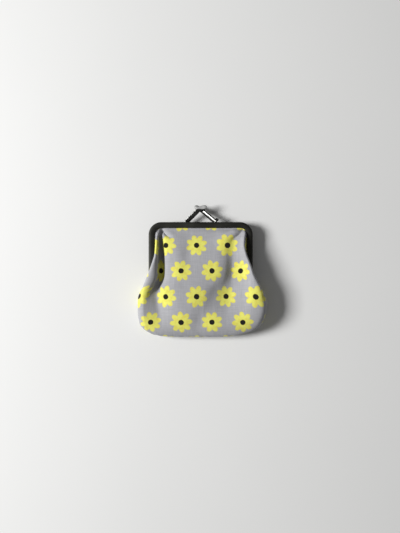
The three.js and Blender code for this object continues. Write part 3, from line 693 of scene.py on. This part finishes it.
def half_section(panel, hand, drop):
    """Points of half a section at each drop, from the edge of the cloth to its middle, as reach, drop
    and rise. Up in the frame they are the turn out of the slot, the side roll and its crest; below it,
    points of a superellipse round from the seam. The fold's wall, valley and shoulder, a halfway point
    and the middle follow."""
    corner = CORNERS[hand]
    squeeze = (corner["drop"] - BEND_DROP) / (BOTTOM_DROP - BEND_DROP)
    side_drop = np.where(drop > BEND_DROP, part_way(BEND_DROP, drop, squeeze), drop)
    past = np.clip((drop - panel["roll_drop"]) / (BOTTOM_DROP - panel["roll_drop"]), 0.0, 1.0)
    fullness = np.sqrt(1.0 - past * past)
    crown, crest = (
        part_way(SEAM_RISE, along_table(panel["shape"], key, drop), fullness) for key in ("crown", hand)
    )
    reach = along_table(OUTLINE, hand, side_drop) - CLOTH / 2
    seam_limit = np.where(drop < SEAM_START_DROP, FRAME_WIDTH, reach)
    turn_rise = part_way(SLOT_RISE, TURN_RISE, smoothstep(drop, MOUTH_DROP, TURN_FULL_DROP))
    held = {
        "lip": (LIP_REACH, SLOT_RISE),
        "turn": (TURN_REACH, turn_rise),
        "wall": (reach, part_way(turn_rise, crest, WALL_SHARE)),
        "crest": (reach - panel["crest_set_in"], crest),
    }
    power = 2.0 / panel["roll_power"]
    height = (crest - SEAM_RISE) / math.sin(math.radians(CREST_DEGREES)) ** power
    edge_reach = along_table(EDGE, "reach", side_drop)
    points = [(np.minimum(edge_reach, seam_limit), along_table(EDGE, "rise", drop))]
    for key, degrees, blend in SIDE_POINTS:
        angle = math.radians(degrees)
        at_seam = (
            reach - panel["roll_reach"] * (1 - math.cos(angle) ** power),
            SEAM_RISE + height * math.sin(angle) ** power,
        )
        points.append([part_way(a, b, smoothstep(drop, *blend)) for a, b in zip(held[key], at_seam)])
    crest_reach = points[-1][0]
    fold = panel[hand]
    brink, at, dip, soft = (along_table(fold["valley"], key, drop) for key in FOLD_COLUMNS)
    brink = np.minimum(brink, crest_reach - BRINK_LIMIT)
    at = np.minimum(at, brink - VALLEY_LIMIT)
    wall, slope = (
        [(part_way(a, soft_a, soft), part_way(b, soft_b, soft)) for a, b, soft_a, soft_b in fold[part]]
        for part in ("wall", "panel")
    )
    across = [(part_way(brink, at, share), sunk) for share, sunk in wall]
    across.append((at, 1.0))
    across += [(at - run, sunk) for run, sunk in slope]
    across += [(across[-1][0] / 2, 0.0), (0.0 * at, 0.0)]
    for place, sunk in across:
        bowl = part_way(crown, crest, (place / crest_reach) ** 2)
        points.append((place, bowl - dip * fullness * sunk))
    x, rise = (np.stack([np.broadcast_to(p[k], drop.shape) for p in points], axis=1) for k in (0, 1))
    top = np.maximum(drop[:, None], corner_drop(x, np.minimum(drop, MOUTH_DROP)[:, None]))
    y = top + (side_drop - drop)[:, None] * (x / reach[:, None]) ** corner["power"]
    share = np.clip((drop - TUCK) / (FRAME_CORNER - TUCK), 0.0, 1.0)
    turn = math.pi / 4 * (1.0 + share)
    in_corner = drop < FRAME_CORNER
    radius = FRAME_CORNER - TUCK
    x[:, 0] = np.where(in_corner, CORNER_REACH + radius * np.sin(turn), x[:, 0])
    y[:, 0] = np.where(in_corner, FRAME_CORNER - radius * np.cos(turn), y[:, 0])
    return x, y, rise


def smooth_across(points, counts):
    """Centripetal Catmull-Rom curve through each row's points, with so many steps between each two."""
    before = 2 * points[:, :1] - points[:, 1:2]
    after = 2 * points[:, -1:] - points[:, -2:-1]
    padded = np.concatenate([before, points, after], axis=1)
    span = np.repeat(np.arange(len(counts)), counts)
    t = np.concatenate([np.arange(n) / n for n in counts])[:, None]
    p0, p1, p2, p3 = (padded[:, span + k] for k in range(4))
    d0, d1, d2 = (
        np.sqrt(np.maximum(np.linalg.norm(b - a, axis=-1, keepdims=True), TINY))
        for a, b in ((p0, p1), (p1, p2), (p2, p3))
    )
    leave = ((p1 - p0) / d0 - (p2 - p0) / (d0 + d1) + (p2 - p1) / d1) * d1
    come = ((p2 - p1) / d1 - (p3 - p1) / (d1 + d2) + (p3 - p2) / d2) * d1
    row = (
        (2 * t**3 - 3 * t**2 + 1) * p1
        + (t**3 - 2 * t**2 + t) * leave
        + (3 * t**2 - 2 * t**3) * p2
        + (t**3 - t**2) * come
    )
    return np.concatenate([row, points[:, -1:]], axis=1)


def middle_surface(panel):
    """Middle surface of a panel, a grid of rows down and columns across, lofted through sections."""
    flat_rows = int((panel["roll_drop"] - TUCK) / ROW_STEP)
    angle = np.linspace(0.0, math.pi / 2, ROLL_ROWS + 1)[1:]
    drops = np.concatenate([
        np.linspace(TUCK, panel["roll_drop"], flat_rows),
        part_way(panel["roll_drop"], BOTTOM_DROP, np.sin(angle)),
    ])
    halves = []
    for hand, sign in (("left", -1), ("right", 1)):
        x, y, rise = half_section(panel, hand, drops)
        halves.append(np.stack([sign * x, -y, panel["side"] * rise], axis=-1))
    points = np.concatenate([halves[0], halves[1][:, ::-1][:, 1:]], axis=1)
    return smooth_across(points, SECTION_COLUMNS + SECTION_COLUMNS[::-1])


def surface_normals(points, side):
    """Unit normals of a grid, out of the pouch: the cross product of its steps down and across."""
    return unit(side * np.cross(np.gradient(points, axis=0), np.gradient(points, axis=1)))


def run_along(points, axis):
    """Distance along each line of a grid from its first point."""
    step = np.linalg.norm(np.diff(points, axis=axis), axis=-1)
    start = np.zeros_like(np.take(step, [0], axis=axis))
    return np.concatenate([start, np.cumsum(step, axis=axis)], axis=axis)


def flat_place(points):
    """Place of each point in the cloth as it was cut: the distance across from the middle line, and the
    distance down the middle line plus how far the point lies below its row's middle."""
    middle = points.shape[1] // 2
    across = run_along(points, 1)
    across = across - across[:, middle:middle + 1]
    down = run_along(points[:, middle:middle + 1], 0)
    lower = points[:, middle:middle + 1, 1] - points[..., 1]
    return np.stack([across, -(down + lower)], axis=-1)


def fold_relief(points, fold):
    """Soft fold along a bent line: height * exp(-(distance / width)^2), with the height and the width of
    the nearest place on the line."""
    place = points[..., None, :2] * (1.0, -1.0)
    line = np.stack([fold["x"], fold["drop"]], axis=1)
    run = np.diff(line, axis=0)
    t = np.clip(((place - line[:-1]) * run).sum(-1) / (run * run).sum(-1), 0.0, 1.0)
    distance = np.linalg.norm(place - line[:-1] - run * t[..., None], axis=-1)
    nearest = distance.argmin(axis=-1)[..., None]
    t, distance = (np.take_along_axis(each, nearest, axis=-1)[..., 0] for each in (t, distance))
    nearest = nearest[..., 0]
    width, height = (
        part_way(fold[key][nearest], fold[key][nearest + 1], t) for key in ("width", "height")
    )
    return height * np.exp(-((distance / width) ** 2))


def from_edges(points):
    """Distance along the cloth from each point to the nearer side edge and to the bottom edge."""
    across = run_along(points, 1)
    down = run_along(points, 0)
    return np.minimum(across, across[:, -1:] - across), down[-1:] - down


def seam_relief(points):
    """Groove along the side and bottom seam, and puckers beside it: a sine of the distance along the
    seam times a slower one."""
    from_side, from_bottom = from_edges(points)
    relief = np.zeros(points.shape[:2])
    for distance, axis, (fast, slow) in ((from_side, 0, SIDE_PHASES), (from_bottom, 1, BOTTOM_PHASES)):
        turns = run_along(points, axis) / PUCKER_RUN
        wave = np.sin(2 * math.pi * turns + fast) * np.sin(turns + slow)
        relief -= GROOVE_DEPTH * np.exp(-((distance / GROOVE_WIDTH) ** 2))
        relief += PUCKER_HEIGHT * wave * np.exp(-((distance / PUCKER_WIDTH) ** 2))
    return relief * smoothstep(-points[..., 1], *SEAM_FADE_IN)


def cloth_shell(panel, folds):
    """Cloth panel: the middle surface with its small folds, half the cloth's thickness to each side, and
    a strip that closes its rim. Gives points, faces and each point's place in the flat cloth."""
    side = panel["side"]
    middle = middle_surface(panel)
    flat = flat_place(middle)
    relief = seam_relief(middle) + sum(fold_relief(middle, fold) for fold in folds)
    middle = middle + relief[..., None] * surface_normals(middle, side)
    step = surface_normals(middle, side) * CLOTH / 2
    shells = np.stack([middle + step, middle - step])
    lowest = np.where(np.minimum(*from_edges(middle)) < SEAM_HELD, SEAM_RISE, panel["lowest"])
    shells[..., 2] = side * np.clip(side * shells[..., 2], lowest, panel["highest"])
    rows, count = middle.shape[:2]
    size = rows * count
    grid = np.arange(size).reshape(rows, count)
    outer = grid_faces(rows, count)
    rim = np.concatenate([grid[0, :-1], grid[:-1, -1], grid[-1, :0:-1], grid[:0:-1, 0]])
    onward = np.roll(rim, -1)
    strip = np.stack([onward, rim, rim + size, onward + size], axis=1)
    faces = np.concatenate([outer, outer[:, ::-1] + size, strip])
    points = shells.reshape(-1, 3)
    return points, turned_out(points, faces), np.tile(flat.reshape(-1, 2), (2, 1))


def math_method(operation):
    """Method for an operator between a shader value and another one or a number."""
    def method(self, other):
        return self.finish.math(operation, self, other)
    return method


class Value:
    """A shader socket that takes part in Python sums: each operator adds the Math node for it."""

    def __init__(self, finish, socket):
        self.finish = finish
        self.socket = socket

    __add__ = __radd__ = math_method("ADD")
    __sub__ = math_method("SUBTRACT")
    __mul__ = __rmul__ = math_method("MULTIPLY")
    __truediv__ = math_method("DIVIDE")
    __pow__ = math_method("POWER")

    def __rsub__(self, other):
        return self.finish.math("SUBTRACT", other, self)

    def call(self, operation, *others):
        """Any other Math operation with this value first, such as FRACT or ARCTAN2."""
        return self.finish.math(operation, self, *others)

    def between(self, low, high):
        """Smooth step from 0 at low to 1 at high."""
        inputs = {"Value": self, "From Min": low, "From Max": high}
        return self.finish.node("ShaderNodeMapRange", inputs, interpolation_type="SMOOTHSTEP")["Result"]


class Finish:
    """One material's node tree, with a Principled surface."""

    def __init__(self, name):
        self.material = bpy.data.materials.new(name)
        self.material.use_nodes = True
        self.tree = self.material.node_tree
        self.tree.nodes.clear()

    def node(self, kind, inputs=None, **settings):
        """Adds a node with its settings, sets or links its inputs, which go by name or number, and gives
        its outputs by name."""
        made = self.tree.nodes.new(kind)
        for key, value in settings.items():
            setattr(made, key, value)
        sockets = {s.name: s for s in made.inputs if s.enabled} | dict(enumerate(made.inputs))
        for key, value in (inputs or {}).items():
            if isinstance(value, Value):
                self.tree.links.new(value.socket, sockets[key])
            else:
                sockets[key].default_value = value
        return {s.name: Value(self, s) for s in made.outputs if s.enabled}

    def math(self, operation, *values):
        """Result of a Math node."""
        return self.node("ShaderNodeMath", dict(enumerate(values)), operation=operation)["Value"]

    def parts(self, vector):
        """X, Y and Z of a vector."""
        return self.node("ShaderNodeSeparateXYZ", {"Vector": vector})

    def stretched(self, vector, scale):
        """Vector scaled along each axis."""
        return self.node("ShaderNodeMapping", {"Vector": vector, "Scale": scale})["Vector"]

    def mix(self, factor, first, second):
        """Colour between two colours."""
        inputs = {"Factor": factor, "A": first, "B": second}
        return self.node("ShaderNodeMix", inputs, data_type="RGBA")["Result"]

    def noise(self, vector, scale, detail=2.0):
        """Noise from 0 to 1."""
        inputs = {"Vector": vector, "Scale": scale, "Detail": detail}
        return self.node("ShaderNodeTexNoise", inputs)["Fac"]

    def place(self):
        """The point's own place, in metres."""
        return self.node("ShaderNodeTexCoord")["Object"]

    def bump(self, height, distance, strength):
        """Normal tilted by a height field."""
        inputs = {"Height": height, "Distance": distance, "Strength": strength}
        return self.node("ShaderNodeBump", inputs)["Normal"]

    def surface(self, inputs):
        """The Principled surface, which the output shows."""
        shader = self.node("ShaderNodeBsdfPrincipled", inputs)["BSDF"]
        self.node("ShaderNodeOutputMaterial", {"Surface": shader})
        return self.material


def opaque(colour, factor=1.0):
    """Colour made lighter or darker by a factor, with full opacity."""
    return (*(factor * c for c in colour), 1.0)


def gunmetal(settings):
    """Dark plated sheet: faint clouding, fine handling marks along the bar and a satin gloss."""
    finish = Finish("dark_plated_sheet")
    place = finish.place()
    cloud = finish.noise(place, scale=60.0, detail=3.0)
    marks = finish.noise(finish.stretched(place, (0.12, 1.0, 1.0)), scale=1600.0).between(0.55, 0.8)
    patches = cloud.between(0.35, 0.75) * 0.5 + marks * 0.25
    dark, pale = (opaque(settings.frame_colour, factor) for factor in (1.0, 2.2))
    return finish.surface({
        "Base Color": finish.mix(patches, dark, pale),
        "Metallic": 1.0,
        "Roughness": cloud * 0.14 + marks * 0.12 + (settings.frame_roughness - 0.07),
        "Normal": finish.bump(finish.noise(place, scale=2600.0), distance=0.000012, strength=0.5),
    })


def polished_steel(settings):
    """Polished dark strip with soft clouds of wear; its tip is painted paler, a painted reflection of the
    curled end, and is matt.
    """
    finish = Finish("polished_strip")
    place = finish.place()
    cloud = finish.noise(place, scale=320.0, detail=3.0)
    # Painted reflection: the tip above these heights is painted paler, and is also made matt
    painted_reflection_tip = finish.parts(place)["Y"].between(*(ORIGIN[1] + MM * y for y in TIP_REFLECTION_SPAN))
    dark, pale = (opaque(settings.clasp_colour, factor) for factor in (1.0, 1.6))
    worn = finish.mix(cloud.between(0.4, 0.7), dark, pale)
    grain = finish.noise(place, scale=2200.0, detail=1.0)
    return finish.surface({
        "Base Color": finish.mix(painted_reflection_tip, worn, opaque(settings.tip_reflection_colour)),
        "Metallic": 1.0,
        "Roughness": cloud * 0.16 + painted_reflection_tip * 0.4 + (settings.clasp_roughness - 0.08),
        "Normal": finish.bump(grain, distance=0.000008, strength=0.4),
    })


def printed_cotton(settings):
    """Plain-weave cotton: a grey ground printed with blossoms on a half-drop lattice. Each blossom is a
    ring of oval petals round a dark middle, with a size and a turn of its own. Lengths in millimetres."""
    finish = Finish("printed_cotton")
    flat = finish.node("ShaderNodeUVMap", uv_map="cloth")["UV"]
    inputs = {"Vector": flat, "Scale": 1 / MM}
    cloth = finish.node("ShaderNodeVectorMath", inputs, operation="SCALE")["Vector"]
    waver = finish.node("ShaderNodeTexNoise", {"Vector": cloth, "Scale": 0.9, "Detail": 2.0})["Color"]
    inputs = {0: waver, 1: (WAVER, WAVER, 0.0), 2: cloth}
    shaken = finish.node("ShaderNodeVectorMath", inputs, operation="MULTIPLY_ADD")["Vector"]
    place = finish.parts(shaken)
    width, height = settings.column_pitch / MM, settings.row_pitch / MM
    row = place["Y"] / height + LATTICE_START[1]
    row_number = row.call("FLOOR")
    column = place["X"] / width + row_number.call("MODULO", 2.0) * 0.5 + LATTICE_START[0]
    column_number = column.call("FLOOR")
    a = (column - column_number - 0.5) * width
    b = (row - row_number - 0.5) * height
    cell = finish.node("ShaderNodeCombineXYZ", {"X": column_number, "Y": row_number})["Vector"]
    own = finish.node("ShaderNodeTexWhiteNoise", {"Vector": cell}, noise_dimensions="2D")["Value"]
    size = settings.blossom_radius / MM * (1.0 - OWN_SIZE / 2 + own * OWN_SIZE)
    radius = (a * a + b * b).call("SQRT") / size
    sector = 2 * math.pi / settings.petals
    turn = b.call("ARCTAN2", a) * (1 / sector) + own * OWN_TURN + TURN_START
    angle = (turn.call("FRACT") - 0.5) * sector
    out = (radius * angle.call("COSINE") - PETAL["centre"]) / PETAL["length"]
    beside = radius * angle.call("SINE") / PETAL["width"]
    petal = (out**2.0 + beside**2.0).call("SQRT")
    heart = 1.0 - radius.between(*HEART_EDGE)
    yellow = (1.0 - petal.between(*PETAL_EDGE)).call("MAXIMUM", heart)
    middle = 1.0 - radius.between(*MIDDLE_EDGE)
    rim = petal.between(0.55, 1.0) * radius.between(0.45, 0.7)
    mottle = finish.noise(cloth, scale=0.32, detail=3.0).between(0.42, 0.68)
    threads = finish.parts(cloth)
    warp, weft = ((threads[axis] * (math.pi * MM / settings.thread_pitch)).call("SINE") for axis in "XY")
    weave = warp * weft
    along, over = (
        finish.noise(finish.stretched(cloth, scale), SLUB_SCALE, 3.0)
        for scale in ((1.0, SLUB_STRETCH, 1.0), (SLUB_STRETCH, 1.0, 1.0))
    )
    slubs = along * 0.5 + over * 0.5
    deep, ground = (opaque(settings.ground_colour, factor) for factor in (0.82, 1.0))
    grey = finish.mix(slubs.between(0.3, 0.7), deep, ground)
    golden = opaque(settings.petal_edge_colour)
    blossom = finish.mix(rim * 0.45 + mottle * 0.55, opaque(settings.blossom_colour), golden)
    printed = finish.mix(yellow * (0.9 + slubs * 0.14).call("MINIMUM", 1.0), grey, blossom)
    inked = finish.mix(middle, printed, opaque(settings.middle_colour))
    lit = weave.between(-1.0, 0.4) * THREAD_SHADE + (1.0 - THREAD_SHADE)
    return finish.surface({
        "Base Color": finish.mix(lit, (0.0, 0.0, 0.0, 1.0), inked),
        "Roughness": slubs * 0.12 + 0.8,
        "Specular IOR Level": 0.25,
        "Sheen Weight": 0.18,
        "Sheen Roughness": 0.5,
        "Normal": finish.bump(weave * 0.5 + slubs * 0.8, distance=0.00006, strength=0.6),
    })


def pale_floor(settings):
    """Smooth pale board with a barely seen unevenness."""
    finish = Finish("pale_board")
    cloud = finish.noise(finish.place(), scale=6.0, detail=4.0)
    dull, pale = (opaque(settings.floor_colour, factor) for factor in (0.96, 1.0))
    return finish.surface({
        "Base Color": finish.mix(cloud, dull, pale),
        "Roughness": cloud * 0.1 + 0.55,
        "Specular IOR Level": 0.3,
    })


def colour(name, description, default):
    """Colour that a user may change."""
    return FloatVectorProperty(
        name=name, description=description, default=default, subtype="COLOR", size=3, min=0.0, max=1.0,
    )


def metres(name, description, default, least):
    """Length in metres that a user may change."""
    return FloatProperty(
        name=name, description=description, default=default, unit="LENGTH", min=least, precision=5,
    )


def dullness(name, description, default):
    """Roughness that a user may change."""
    return FloatProperty(
        name=name, description=description, default=default, subtype="FACTOR", min=0.1, max=1.0,
    )


class POUCH_PG_metal(bpy.types.PropertyGroup):
    """Colours of the metal."""

    frame_colour: colour("Frame", "Plating of the frame and rivets", (0.034, 0.034, 0.030))
    frame_roughness: dullness("Frame roughness", "How dull the frame is", 0.58)
    clasp_colour: colour("Clasp", "Plating of the clasp tongues", (0.10, 0.10, 0.096))
    # Painted reflection: pale colour painted on the clasp's tips in place of the light their curled ends
    # reflect
    tip_reflection_colour: colour("Reflecting metal", "Glinting metal at the clasp's tips", (0.30, 0.30, 0.295))
    clasp_roughness: dullness("Clasp roughness", "How dull the clasp is", 0.22)


class POUCH_PG_cloth(bpy.types.PropertyGroup):
    """Weave and print of the cotton."""

    thread_pitch: metres("Thread pitch", "Distance from thread to thread", 0.00042, 0.0001)
    blossom_radius: metres("Blossom radius", "Reach of a blossom's petals", 0.0088, 0.001)
    petals: IntProperty(
        name="Petals", description="Petals of a blossom", default=8, subtype="UNSIGNED", min=3, max=16,
    )
    column_pitch: metres("Column pitch", "Distance from blossom to blossom across", 0.0245, 0.005)
    row_pitch: metres("Row pitch", "Distance from row to row down", 0.0205, 0.005)
    ground_colour: colour("Ground", "Colour behind the print", (0.42, 0.42, 0.44))
    blossom_colour: colour("Blossom", "Main colour of a blossom", (0.77, 0.76, 0.145))
    petal_edge_colour: colour("Petal edge", "Colour towards a petal's edge", (0.70, 0.59, 0.075))
    middle_colour: colour("Middle", "Colour of a blossom's middle", (0.006, 0.005, 0.004))


class POUCH_PG_stage(bpy.types.PropertyGroup):
    """Floor, light and camera."""

    floor_colour: colour("Floor", "Colour of the floor", (0.80, 0.80, 0.79))
    key_power: FloatProperty(
        name="Key light", description="Power of the large lamp", unit="POWER", default=31.0, min=0.0,
    )
    key_size: metres("Key size", "Side of the large lamp", 0.52, 0.01)
    fill: FloatProperty(
        name="Fill", description="Light from all round", default=0.15, subtype="UNSIGNED", min=0.0,
    )
    camera_height: metres("Camera height", "Height above the frame's face", 0.6, 0.05)
    seen_height: metres("Seen height", "Height of the picture at the frame's face", 0.4264, 0.05)


class POUCH_OT_frame_halves(bpy.types.Operator):
    """Makes the two halves of the metal frame, with their hinge lugs"""

    bl_idname = "pouch.frame_halves"
    bl_label = "Frame halves"

    def execute(self, context):
        material = gunmetal(context.scene.pouch_metal)
        for name, clasp in zip(("frame_front", "frame_back"), CLASPS):
            side = clasp["side"]
            half = new_object(name + "_sheet", *channel(side))
            outer_face = HALF_WIDTH - LUG_INSET - (0.0 if side > 0 else SHEET + GAP)
            inner_face = outer_face - SHEET + 2 * LUG_INSET
            for hand in (-1, 1):
                plate = new_object("lug", *lug(side, hand, inner_face, outer_face))
                combined(half, plate, "UNION")
            height, size = SLOT_BLOCK
            slot = new_object("slot", *block((clasp["foot"], height, side * SLOT_RISE), size))
            combined(half, slot, "DIFFERENCE")
            dressed(half, material, name, FRAME_SHARP_DEGREES)
        return {"FINISHED"}


class POUCH_OT_hinge_rivets(bpy.types.Operator):
    """Makes the two rivets of the hinge"""

    bl_idname = "pouch.hinge_rivets"
    bl_label = "Hinge rivets"

    def execute(self, context):
        material = gunmetal(context.scene.pouch_metal)
        for name, hand in (("hinge_rivet_left", -1), ("hinge_rivet_right", 1)):
            rivet = new_object(name + "_head", *hinge_rivet_shell(hand))
            dressed(rivet, material, name, SMALL_SHARP_DEGREES)
        return {"FINISHED"}


class POUCH_OT_clasp_tongues(bpy.types.Operator):
    """Makes the two crossing tongues of the clasp"""

    bl_idname = "pouch.clasp_tongues"
    bl_label = "Clasp tongues"

    def execute(self, context):
        material = polished_steel(context.scene.pouch_metal)
        for clasp in CLASPS:
            foot, level = clasp["foot"], clasp["side"] * SLOT_RISE
            tongue = new_object(clasp["name"] + "_strip", *strip_shell(clasp))
            for height, size in FOOT_BLOCKS:
                combined(tongue, new_object("foot", *block((foot, height, level), size)), "UNION")
            if clasp["side"] > 0:
                combined(tongue, new_object("knob", *knob_shell(level)), "UNION")
            dressed(tongue, material, clasp["name"], SMALL_SHARP_DEGREES)
        return {"FINISHED"}


class POUCH_OT_cloth_panels(bpy.types.Operator):
    """Makes the front and back panels of the printed cotton"""

    bl_idname = "pouch.cloth_panels"
    bl_label = "Cloth panels"

    def execute(self, context):
        material = printed_cotton(context.scene.pouch_cloth)
        panels = ((FRONT, FRONT_FOLDS, "frame_front"), (BACK, BACK_FOLDS, "frame_back"))
        for panel, folds, holder in panels:
            points, faces, flat = cloth_shell(panel, folds)
            cloth = new_object(panel["name"] + "_cloth", points, faces, flat)
            dressed(cloth, material, panel["name"], CLOTH_SHARP_DEGREES)
        return {"FINISHED"}


class POUCH_OT_stage(bpy.types.Operator):
    """Makes the floor, the light and the camera that looks straight down"""

    bl_idname = "pouch.stage"
    bl_label = "Floor, light and camera"

    def execute(self, context):
        settings = context.scene.pouch_stage
        corners = np.array([(-1, -1, 0), (1, -1, 0), (1, 1, 0), (-1, 1, 0)]) * FLOOR_REACH
        mesh = bpy.data.meshes.new("floor")
        mesh.from_pydata((corners - (0.0, 0.0, FLOOR_BELOW)).tolist(), [], [(0, 1, 2, 3)])
        floor = bpy.data.objects.new("floor", mesh)
        mesh.materials.append(pale_floor(settings))

        lamp = bpy.data.lights.new("key", "AREA")
        lamp.energy = settings.key_power
        lamp.size = settings.key_size
        key = bpy.data.objects.new("key", lamp)
        key.location = KEY_PLACE
        key.rotation_euler = (-key.location).to_track_quat("-Z", "Y").to_euler()

        world = bpy.data.worlds.new("studio")
        world.use_nodes = True
        background = world.node_tree.nodes["Background"].inputs
        background["Color"].default_value = (1.0, 1.0, 1.0, 1.0)
        background["Strength"].default_value = settings.fill
        context.scene.world = world

        lens = bpy.data.cameras.new("camera")
        lens.sensor_width = SENSOR_WIDTH
        lens.lens = lens.sensor_width * settings.camera_height / settings.seen_height
        camera = bpy.data.objects.new("camera", lens)
        x, drop = PICTURE_MIDDLE
        high = FRAME_HIGH.z + settings.camera_height
        camera.location = (ORIGIN[0] + x * MM, ORIGIN[1] - drop * MM, high)
        for made in (floor, key, camera):
            context.scene.collection.objects.link(made)
        context.scene.camera = camera
        context.scene.view_settings.view_transform = "Standard"
        return {"FINISHED"}


class POUCH_PT_sidebar(bpy.types.Panel):
    """Lists the steps that dress the pouch, and what can be changed"""

    bl_idname = "POUCH_PT_sidebar"
    bl_label = "Kiss-lock coin pouch"
    bl_space_type = "VIEW_3D"
    bl_region_type = "UI"
    bl_category = "Pouch"

    def draw(self, context):
        for group in GROUPS:
            box = self.layout.box()
            settings = getattr(context.scene, group)
            for name in settings.__annotations__:
                box.prop(settings, name)
        for step in STEPS:
            self.layout.operator(step.bl_idname)


STEPS = (
    POUCH_OT_stage,
    POUCH_OT_frame_halves,
    POUCH_OT_hinge_rivets,
    POUCH_OT_clasp_tongues,
    POUCH_OT_cloth_panels,
)
GROUPS = {"pouch_metal": POUCH_PG_metal, "pouch_cloth": POUCH_PG_cloth, "pouch_stage": POUCH_PG_stage}


def register():
    for cls in (*GROUPS.values(), *STEPS, POUCH_PT_sidebar):
        bpy.utils.register_class(cls)
    for name, group in GROUPS.items():
        setattr(bpy.types.Scene, name, PointerProperty(type=group))


def unregister():
    for name in GROUPS:
        delattr(bpy.types.Scene, name)
    for cls in (POUCH_PT_sidebar, *reversed(STEPS), *reversed(GROUPS.values())):
        bpy.utils.unregister_class(cls)


def main():
    register()
    bpy.ops.pouch.stage()
    bpy.ops.pouch.frame_halves()
    bpy.ops.pouch.hinge_rivets()
    bpy.ops.pouch.clasp_tongues()
    bpy.ops.pouch.cloth_panels()


if __name__ == "__main__":
    main()
